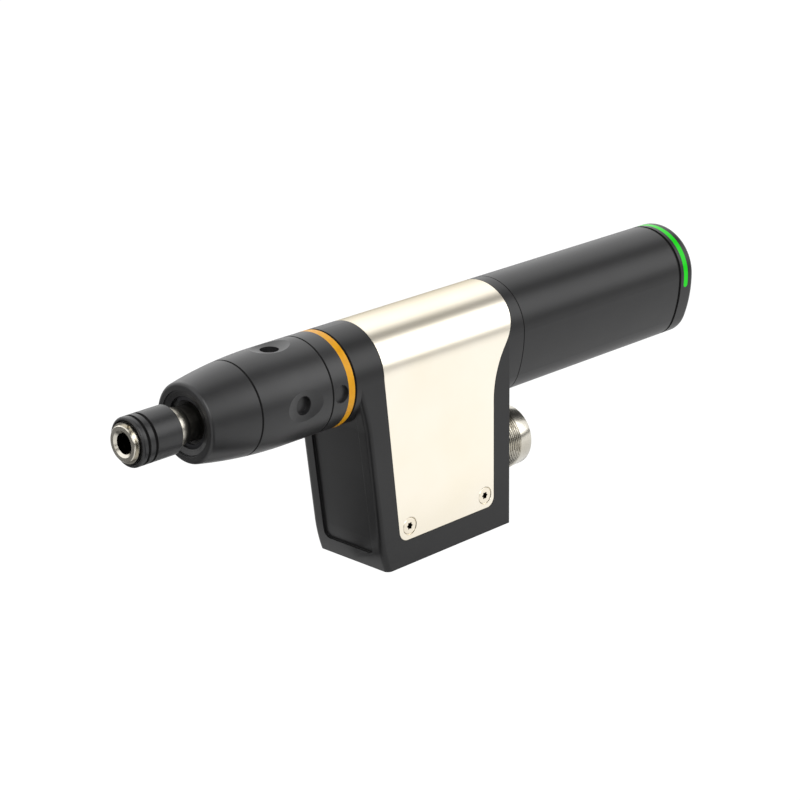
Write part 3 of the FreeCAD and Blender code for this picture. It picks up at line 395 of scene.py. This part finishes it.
def mouldedPart(name):
    # coloured, non-metal parts with a fine moulded or printed texture, and tones that drift more slowly
    dark, light, roughness, size, depth, ior = plastics[name]
    material, tree, surface, place = newMaterial(name, IOR=ior)
    texture = mottle(tree, place, size * mm)
    patchSize = 8 * size
    patches = mottle(tree, place, patchSize * mm)
    tree.links.new(tint(tree, patches, dark, light), surface.inputs["Base Color"])
    tree.links.new(rampBetween(tree, texture, *roughness), surface.inputs["Roughness"])
    bumpFrom(tree, surface, texture, depth * mm)
    return material


lightStrip = {
    "colour": "#0a7a0a",
    "glow": "#0fe20f",
    "strength": 0.66,
    "ior": 1.40,
    "gloss": 0.25,
    "roughness": (0.26, 0.36),
    "texture": 0.8 * mm,
    "textureDepth": 0.004 * mm,
}


def litPolycarbonate():
    # moulded polycarbonate lit from inside: an even green with a soft gloss over it
    look = lightStrip
    material, tree, surface, place = newMaterial(
        "LitPolycarbonate",
        **{
            "Base Color": look["colour"],
            "Emission Color": look["glow"],
            "Emission Strength": look["strength"],
            "IOR": look["ior"],
            "Specular IOR Level": look["gloss"],
        },
    )
    texture = mottle(tree, place, look["texture"])
    tree.links.new(rampBetween(tree, texture, *look["roughness"]), surface.inputs["Roughness"])
    bumpFrom(tree, surface, texture, look["textureDepth"])
    return material


finishes = {
    "darkBlasted": blastedAnodisedAluminium(),
    "darkTurned": turnedAnodisedAluminium(),
    "coverNickel": satinNickelSheet(),
    "screwNickel": nickelPlatedScrew(),
    "turnedNickel": turnedNickel("TurnedNickel", False),
    "holderNickel": turnedNickel("TurnedNickelHolder", True),
    "ringOrange": orangeAnodisedRing(),
    "lightGreen": litPolycarbonate(),
}
for metalName in metals:
    finishes[metalName] = plainMetal(metalName)
for plasticName in plastics:
    finishes[plasticName] = mouldedPart(plasticName)
print("finishes made:", len(finishes))

nodeFinishes = {
    "darkBlasted": ["main_frame", "rear_tube", "end_cap"],
    "darkTurned": ["release_sleeve", "nose_cone", "gear_housing", "lock_ring"],
    "coverNickel": ["cover_plate"],
    "turnedNickel": ["holder_snap_ring", "connector_nut"],
    "holderNickel": ["bit_holder"],
    "lightGreen": ["light_guide"],
    "GroundBearingSteel": [
        "output_spindle", "bearing_spacer", "bearing_nut", "spindle_bearing_inner_rings",
        "spindle_bearing_outer_rings", "ring_gear", "sun_gear_1", "sun_gear_2", "carrier_1", "carrier_2",
        "planet_1a", "planet_1b", "planet_1c", "planet_2a", "planet_2b", "planet_2c",
        "motor_bearing_inner_rings", "motor_bearing_outer_rings", "rotor_shaft", "board_spacers",
    ],
    "PhosphatedSpringSteel": ["mouth_circlip", "housing_snap_ring"],
    "PolishedBearingBall": ["detent_balls", "spindle_bearing_balls", "motor_bearing_balls"],
    "MachinedAluminium": ["torque_transducer", "motor_front_flange", "motor_rear_flange"],
    "LaminatedCoreSteel": ["stator_core"],
    "EnamelledCopperWire": ["stator_windings"],
    "NickelPlatedMagnet": ["rotor_magnets", "encoder_magnet"],
    "GoldPlatedContact": ["connector_contacts"],
    "ringOrange": ["identification_ring"],
    "NitrileRubber": ["cap_seal", "connector_gasket"],
    "GreyNitrileRubber": ["spindle_seal"],
    "MouldedPolyamide": ["capacitors", "connector_insert"],
    "SolderResistBoard": [
        "encoder_board", "light_board", "power_board", "drive_board", "interface_board",
    ],
}


def dressNodes():
    for finish, names in nodeFinishes.items():
        for name in names:
            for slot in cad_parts[name].material_slots:
                slot.material = finishes[finish]
    print("nodes dressed:", sum(len(names) for names in nodeFinishes.values()))


dressNodes()


# Pieces

def pieceFromMesh(mesh, name, finish, body, replaced=()):
    bmesh.ops.recalc_face_normals(mesh, faces=mesh.faces)
    data = bpy.data.meshes.new(name)
    mesh.to_mesh(data)
    mesh.free()
    piece = bpy.data.objects.new(name, data)
    bpy.context.scene.collection.objects.link(piece)
    data.materials.append(finishes[finish])
    for face in data.polygons:
        face.use_smooth = True
    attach(piece, body)
    if replaced:
        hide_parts(*replaced)
    return piece


def sharpenAt(piece, degrees):
    # smooth shading that stops at corners steeper than this
    piece.data.set_sharp_from_angle(angle=math.radians(degrees))


connector = {
    # in mm
    "z": -46.8,
    "threadRadius": 12.0,
    "threadDepth": 0.62,
    "pitch": 1.0,
    "flank": 1.35,          # slope of a tooth's sides; its tip is cut flat
    "rootFlat": 0.12,       # how much of its height is cut at the root
    "runOutStart": 0.9,     # from the flange to where the thread begins to rise
    "runOut": 0.6,          # length over which it fades at either end
    "steps": 96,            # facets round the circle
    "perPitch": 8,          # rows along each turn of thread
    "stemStart": 157.1,
    "flangeStart": 166.9,
    "flangeEnd": 168.5,
    "flangeEdge": 0.2,
    "threadEnd": 179.3,
    "mouth": 185.3,
    "stemRadius": 10.6,
    "flangeRadius": 13.4,
    "lipGap": 0.10,         # between the thread's end and the lip's rear edge
    "lipChamfer": 0.15,
    "lipRadius": 11.75,
    "lipEdge": 0.5,
    "lipBend": 0.3,         # of the lip's front edge: 0 is a square corner, 0.5 a flat chamfer
    "boreRadius": 9.6,
    "sharp": 35,            # corners steeper than this many degrees stay crisp
}


def threadHeight(x, turn, look):
    # radius of the threaded stretch: a rounded 60 degree profile that runs out at both ends
    phase = ((x - look["flangeEnd"]) / look["pitch"] - turn) % 1.0
    tooth = min(1.0, max(0.0, look["flank"] * (1 - abs(2 * phase - 1)) - look["rootFlat"]))
    fadeIn = min(1.0, max(0.0, (x - look["flangeEnd"] - look["runOutStart"]) / look["runOut"]))
    fadeOut = min(1.0, max(0.0, (look["threadEnd"] - x) / look["runOut"]))
    root = look["threadRadius"] - look["threadDepth"]
    return root + look["threadDepth"] * tooth * fadeIn * fadeOut


def buildConnector():
    look = connector
    edge = look["flangeEdge"]
    lip = look["lipEdge"]
    bend = look["lipBend"] * lip
    lipStart = look["threadEnd"] + look["lipGap"]
    mesh = bmesh.new()
    profile = [
        (look["stemStart"], look["boreRadius"]),
        (look["stemStart"], look["stemRadius"]),
        (look["flangeStart"], look["stemRadius"]),
        (look["flangeStart"], look["flangeRadius"] - edge),
        (look["flangeStart"] + edge, look["flangeRadius"]),
        (look["flangeEnd"] - edge, look["flangeRadius"]),
        (look["flangeEnd"], look["flangeRadius"] - edge),
    ]
    threadLength = look["threadEnd"] - look["flangeEnd"]
    threadRows = int(threadLength / look["pitch"] * look["perPitch"])
    for i in range(threadRows + 1):
        # None stands for the threaded stretch, whose radius changes round the circle
        profile.append((look["flangeEnd"] + threadLength * i / threadRows, None))
    profile += [
        (lipStart, look["lipRadius"] - look["lipChamfer"]),
        (lipStart + look["lipChamfer"], look["lipRadius"]),
        (look["mouth"] - lip, look["lipRadius"]),
        (look["mouth"] - bend, look["lipRadius"] - bend),
        (look["mouth"], look["lipRadius"] - lip),
        (look["mouth"], look["boreRadius"] + lip),
        (look["mouth"] - lip, look["boreRadius"]),
    ]
    rings = []
    for x, radius in profile:
        ring = []
        for i in range(look["steps"]):
            turn = i / look["steps"]
            r = threadHeight(x, turn, look) if radius is None else radius
            y = r * math.cos(2 * math.pi * turn)
            z = look["z"] + r * math.sin(2 * math.pi * turn)
            ring.append(mesh.verts.new((x * mm, y * mm, z * mm)))
        rings.append(ring)
    for first, second in zip(rings, rings[1:] + rings[:1]):
        for i in range(look["steps"]):
            j = (i + 1) % look["steps"]
            mesh.faces.new((first[i], first[j], second[j], second[i]))
    piece = pieceFromMesh(
        mesh, "threadedConnector", "turnedNickel", "housing", ["connector_shell"]
    )
    sharpenAt(piece, look["sharp"])


coverScrew = {
    # in mm; each place is a pair of x and z, used on both sides
    "places": [(113.2, -57.9), (152.8, -57.9)],
    "surface": 17.5,
    "sunk": 0.10,           # the head lies a little below the cover's face
    "headRadius": 3.10,
    "edge": 0.15,
    "shankRadius": 1.5,
    "shankLength": 6.8,
    "tip": 0.4,             # chamfer at the shank's end
    "socketRadius": 1.45,   # tips of the six lobes
    "lobes": 6,
    "lobeDepth": 0.42,
    "socketDepth": 1.5,
    "socketCone": 0.25,     # the socket's floor is a shallow cone of this height
    "steps": 48,
    "sharp": 35,
}


def lobedRadius(angle, look):
    # outline of a six-lobed socket
    wave = 0.5 + 0.5 * math.cos(look["lobes"] * angle)
    return look["socketRadius"] - look["lobeDepth"] * (1 - wave)


def buildCoverScrews():
    look = coverScrew
    headDepth = look["headRadius"] - look["shankRadius"]
    socketFloor = look["sunk"] + look["socketDepth"]
    rows = [
        # depth below the surface, radius, where None is the lobed socket
        (socketFloor, 0.0),
        (socketFloor - look["socketCone"], None),
        (look["sunk"], None),
        (look["sunk"], look["headRadius"] - look["edge"]),
        (look["sunk"] + look["edge"], look["headRadius"]),
        (look["sunk"] + look["edge"] + headDepth, look["shankRadius"]),
        (look["shankLength"], look["shankRadius"]),
        (look["shankLength"] + look["tip"], look["shankRadius"] - look["tip"]),
        (look["shankLength"] + look["tip"], 0.0),
    ]
    mesh = bmesh.new()
    for side in (-1, 1):
        for x, z in look["places"]:
            rings = []
            for depth, radius in rows:
                y = side * (look["surface"] - depth) * mm
                if radius == 0.0:
                    rings.append([mesh.verts.new((x * mm, y, z * mm))])
                    continue
                ring = []
                for i in range(look["steps"]):
                    angle = 2 * math.pi * i / look["steps"]
                    r = lobedRadius(angle, look) if radius is None else radius
                    across = x + r * math.cos(angle)
                    up = z + r * math.sin(angle)
                    ring.append(mesh.verts.new((across * mm, y, up * mm)))
                rings.append(ring)
            for first, second in zip(rings, rings[1:]):
                for i in range(look["steps"]):
                    j = (i + 1) % look["steps"]
                    corners = [
                        first[i % len(first)],
                        first[j % len(first)],
                        second[j % len(second)],
                        second[i % len(second)],
                    ]
                    # a ring of one point gives triangles, so its point is named once
                    mesh.faces.new(list(dict.fromkeys(corners)))
    piece = pieceFromMesh(mesh, "coverScrews", "screwNickel", "housing", ["cover_screws"])
    sharpenAt(piece, look["sharp"])


sleeveSpring = {
    # in mm
    "start": 10.47,         # middle of the wire at the end that the sleeve pushes
    "end": 14.48,           # and at the end that rests on the holder's shoulder
    "shoulder": 14.80,
    "coilRadius": 6.90,
    "wireRadius": 0.30,
    "turns": 2.5,
    "stepsPerTurn": 40,
    "stepsAround": 10,
    "travel": 2.5,          # of the sleeve, from rest to its stop
    "sharp": 50,
}


def buildSleeveSpring():
    # the return spring is drawn here, as a fixed coil
    look = sleeveSpring
    mesh = bmesh.new()
    rings = []
    steps = int(look["turns"] * look["stepsPerTurn"])
    for i in range(steps + 1):
        angle = 2 * math.pi * i / look["stepsPerTurn"]
        middle = look["start"] + (look["end"] - look["start"]) * i / steps
        ring = []
        for k in range(look["stepsAround"]):
            around = 2 * math.pi * k / look["stepsAround"]
            r = look["coilRadius"] + look["wireRadius"] * math.cos(around)
            x = middle + look["wireRadius"] * math.sin(around)
            ring.append(mesh.verts.new((x * mm, r * math.sin(angle) * mm, -r * math.cos(angle) * mm)))
        rings.append(ring)
    for first, second in zip(rings, rings[1:]):
        for k in range(look["stepsAround"]):
            j = (k + 1) % look["stepsAround"]
            mesh.faces.new((first[k], first[j], second[j], second[k]))
    mesh.faces.new(rings[0])
    mesh.faces.new(rings[-1])
    piece = pieceFromMesh(
        mesh, "sleeveSpring", "PhosphatedSpringSteel", "spindle", ["sleeve_spring"]
    )
    sharpenAt(piece, look["sharp"])
    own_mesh(piece)


buildConnector()
buildCoverScrews()
buildSleeveSpring()
print("pieces built")


# Studio

studio = {
    "floor": "#dedede",
    "floorMiddle": (0.14, 0.0),
    "floorSize": 6.0,
    "floorZ": -72.6,        # underside of the foot, in mm
    "floorGap": 0.05,       # the paper lies this much lower, in mm
    "paperWhite": 0.95,     # share of the seen paper that is plain white; the rest takes the shadow
    "worldStrength": 0.62,
    "mirrorStrength": 1.5,  # what the parts mirror: softboxes overhead are brighter than white paper
    "worldLight": "#ffffff",
    "worldBand": "#4b4a48",
    # gaps between the softboxes, in degrees: direction round X, half width, and how dark from 0 to 1
    "bands": [(76.0, 14.0, 1.0), (4.0, 12.0, 1.0), (40.0, 17.0, 0.2)],
    "bandFade": (0.4, 1.6),     # a band fades between these shares of its half width
    "paperGlow": 1.08,          # of the paper as the camera sees it
    "mirrorGlow": 1.18,         # and as the parts mirror it
    # brightness of the mirrored paper by its direction from the foot, in degrees: painted shade makes it
    # dark towards the camera, and in front of the foot on the far side
    "paperRound": [
        (-180, 1.0),
        (-156, 1.0),
        (-144, 0.0),
        (-124, 0.0),
        (-108, 1.0),
        (114, 1.0),
        (134, 0.28),
        (168, 0.05),
        (180, 1.0),
    ],
    "footPlace": 0.10,      # where those directions start, in metres along X
    # and by distance to the side in metres: a painted shadow makes it dimmer under the part, and painted
    # shade makes it dark from about 0.8 m out
    "paperAside": [(0.0, 0.80), (0.03, 0.86), (0.065, 1.0), (0.42, 1.0), (0.8, 0.1), (1.2, 0.07)],
}


def showsAsWhite(tree):
    # 1 for camera, glossy and transmission rays, 0 for the rest
    path = addNode(tree, "ShaderNodeLightPath").outputs
    white = path["Is Camera Ray"]
    for kind in ("Is Glossy Ray", "Is Transmission Ray"):
        either = addNode(tree, "ShaderNodeMath", {"operation": "MAXIMUM"}, {0: white, 1: path[kind]})
        white = either.outputs[0]
    return path, white


def levelsAlong(tree, value, stops):
    # brightness between the stops, each given as a value and its grey level
    start, end = stops[0][0], stops[-1][0]
    share = rampBetween(tree, value, 0.0, 1.0, start, end)
    levels = addNode(tree, "ShaderNodeValToRGB", links={"Fac": share})
    made = levels.color_ramp.elements
    made[0].color = (*[stops[0][1]] * 3, 1.0)
    made[1].color = (*[stops[-1][1]] * 3, 1.0)
    for place, level in stops[1:-1]:
        made.new((place - start) / (end - start)).color = (level, level, level, 1.0)
    return levels.outputs["Color"]


def paperLevel(tree, look):
    # brightness of the paper where a part mirrors it, with painted shade and painted shadow, by direction
    # from the foot and distance to the side
    place = addNode(tree, "ShaderNodeNewGeometry").outputs["Position"]
    spot = addNode(tree, "ShaderNodeSeparateXYZ", links={0: place}).outputs
    shift = {"operation": "SUBTRACT", 1: look["footPlace"]}
    along = addNode(tree, "ShaderNodeMath", shift, {0: spot["X"]}).outputs[0]
    turn = addNode(tree, "ShaderNodeMath", {"operation": "ARCTAN2"}, {0: spot["Y"], 1: along})
    roundStops = [(math.radians(angle), level) for angle, level in look["paperRound"]]
    around = levelsAlong(tree, turn.outputs[0], roundStops)
    distance = addNode(tree, "ShaderNodeMath", {"operation": "ABSOLUTE"}, {0: spot["Y"]}).outputs[0]
    aside = levelsAlong(tree, distance, look["paperAside"])
    both = addNode(tree, "ShaderNodeVectorMath", {"operation": "MULTIPLY"}, {0: around, 1: aside})
    return both.outputs["Vector"]


def buildFloor():
    look = studio
    height = (look["floorZ"] - look["floorGap"]) * mm
    bpy.ops.mesh.primitive_plane_add(size=look["floorSize"], location=(*look["floorMiddle"], height))
    floor = bpy.context.object
    floor.name = "studioFloor"
    material = bpy.data.materials.new("MattWhitePaper")
    material.use_nodes = True
    tree = material.node_tree
    tree.nodes.clear()
    paper = addNode(tree, "ShaderNodeBsdfDiffuse", {"Color": hexToLinear(look["floor"])})
    path, white = showsAsWhite(tree)
    seen = addNode(tree, "ShaderNodeEmission", {"Color": (1, 1, 1, 1), "Strength": look["paperGlow"]})
    # painted shade and painted shadow on the paper as the parts mirror it
    level = paperLevel(tree, look)
    mirrored = addNode(tree, "ShaderNodeEmission", {"Strength": look["mirrorGlow"]}, {"Color": level})
    byRay = {"Fac": path["Is Glossy Ray"], 1: seen.outputs[0], 2: mirrored.outputs[0]}
    glow = addNode(tree, "ShaderNodeMixShader", links=byRay)
    share = addNode(tree, "ShaderNodeMath", {"operation": "MULTIPLY", 1: look["paperWhite"]}, {0: white})
    byShare = {"Fac": share.outputs[0], 1: paper.outputs[0], 2: glow.outputs[0]}
    shown = addNode(tree, "ShaderNodeMixShader", links=byShare)
    addNode(tree, "ShaderNodeOutputMaterial", links={"Surface": shown.outputs[0]})
    floor.data.materials.append(material)


def buildWorld():
    # white all round, with soft darker bands that run along the spindle, as gaps between softboxes
    look = studio
    fadeStart, fadeEnd = look["bandFade"]
    world = bpy.data.worlds.new("softStudio")
    bpy.context.scene.world = world
    world.use_nodes = True
    tree = world.node_tree
    tree.nodes.clear()
    direction = addNode(tree, "ShaderNodeTexCoord").outputs["Generated"]
    axes = addNode(tree, "ShaderNodeSeparateXYZ", links={0: direction})
    toCamera = addNode(tree, "ShaderNodeMath", {"operation": "MULTIPLY", 1: -1.0}, {0: axes.outputs["Y"]})
    turn = {0: axes.outputs["Z"], 1: toCamera.outputs[0]}
    around = addNode(tree, "ShaderNodeMath", {"operation": "ARCTAN2"}, turn).outputs[0]
    share = None
    for centre, half, depth in look["bands"]:
        shift = {"operation": "SUBTRACT", 1: math.radians(centre)}
        offset = addNode(tree, "ShaderNodeMath", shift, {0: around}).outputs[0]
        distance = addNode(tree, "ShaderNodeMath", {"operation": "ABSOLUTE"}, {0: offset}).outputs[0]
        settings = {
            "interpolation_type": "SMOOTHSTEP",
            "From Min": math.radians(half * fadeStart),
            "From Max": math.radians(half * fadeEnd),
            "To Min": depth,
            "To Max": 0.0,
        }
        band = addNode(tree, "ShaderNodeMapRange", settings, {"Value": distance}).outputs["Result"]
        if share is None:
            share = band
        else:
            either = addNode(tree, "ShaderNodeMath", {"operation": "MAXIMUM"}, {0: share, 1: band})
            share = either.outputs[0]
    colours = addNode(tree, "ShaderNodeValToRGB", links={"Fac": share})
    colours.color_ramp.elements[0].color = hexToLinear(look["worldLight"])
    colours.color_ramp.elements[1].color = hexToLinear(look["worldBand"])
    tone = {"Color": colours.outputs["Color"]}
    lit = addNode(tree, "ShaderNodeBackground", {"Strength": look["worldStrength"]}, tone)
    mirrored = addNode(tree, "ShaderNodeBackground", {"Strength": look["mirrorStrength"]}, tone)
    seen = addNode(tree, "ShaderNodeBackground", {"Color": (1, 1, 1, 1), "Strength": 1.0})
    path = addNode(tree, "ShaderNodeLightPath").outputs
    whenMirrored = {"Fac": path["Is Glossy Ray"], 1: lit.outputs[0], 2: mirrored.outputs[0]}
    reflected = addNode(tree, "ShaderNodeMixShader", links=whenMirrored)
    whenSeen = {"Fac": path["Is Camera Ray"], 1: reflected.outputs[0], 2: seen.outputs[0]}
    shown = addNode(tree, "ShaderNodeMixShader", links=whenSeen)
    addNode(tree, "ShaderNodeOutputWorld", links={"Surface": shown.outputs[0]})


lampTarget = (0.14, 0.0, -0.01)
lamps = {
    # name: place, size in metres, power in watts
    "keySoftbox": ((-0.9, -1.1, 1.3), 1.1, 16.0),
    "fillSoftbox": ((1.3, -1.2, 0.7), 1.2, 7.0),
    "backSoftbox": ((0.2, 1.5, 1.2), 1.4, 8.0),
}


def buildLamps():
    for name, (place, size, power) in lamps.items():
        lamp = bpy.data.lights.new(name, "AREA")
        lamp.shape = "SQUARE"
        lamp.size = size
        lamp.energy = power
        holder = bpy.data.objects.new(name, lamp)
        holder.location = place
        toTarget = Vector(lampTarget) - Vector(place)
        holder.rotation_euler = toTarget.to_track_quat("-Z", "Y").to_euler()
        bpy.context.scene.collection.objects.link(holder)


view = {
    "place": (-0.454415, -0.570473, 0.268552),      # in metres
    "turn": (70.60713, 0.68882, -45.77339),     # in degrees, from fitting the outline to the photo
    "lens": 108.25,
    "sensor": 36.0,
    "nearest": 0.05,
    "farthest": 20.0,
}


def buildCamera():
    look = view
    data = bpy.data.cameras.new("photoCamera")
    data.lens = look["lens"]
    data.sensor_width = look["sensor"]
    data.clip_start = look["nearest"]
    data.clip_end = look["farthest"]
    camera = bpy.data.objects.new("photoCamera", data)
    camera.location = look["place"]
    camera.rotation_euler = Euler([math.radians(a) for a in look["turn"]])
    bpy.context.scene.collection.objects.link(camera)
    bpy.context.scene.camera = camera


buildFloor()
buildWorld()
buildLamps()
buildCamera()
bpy.context.scene.view_settings.view_transform = "Standard"
print("studio ready")

bpy.context.view_layer.update()
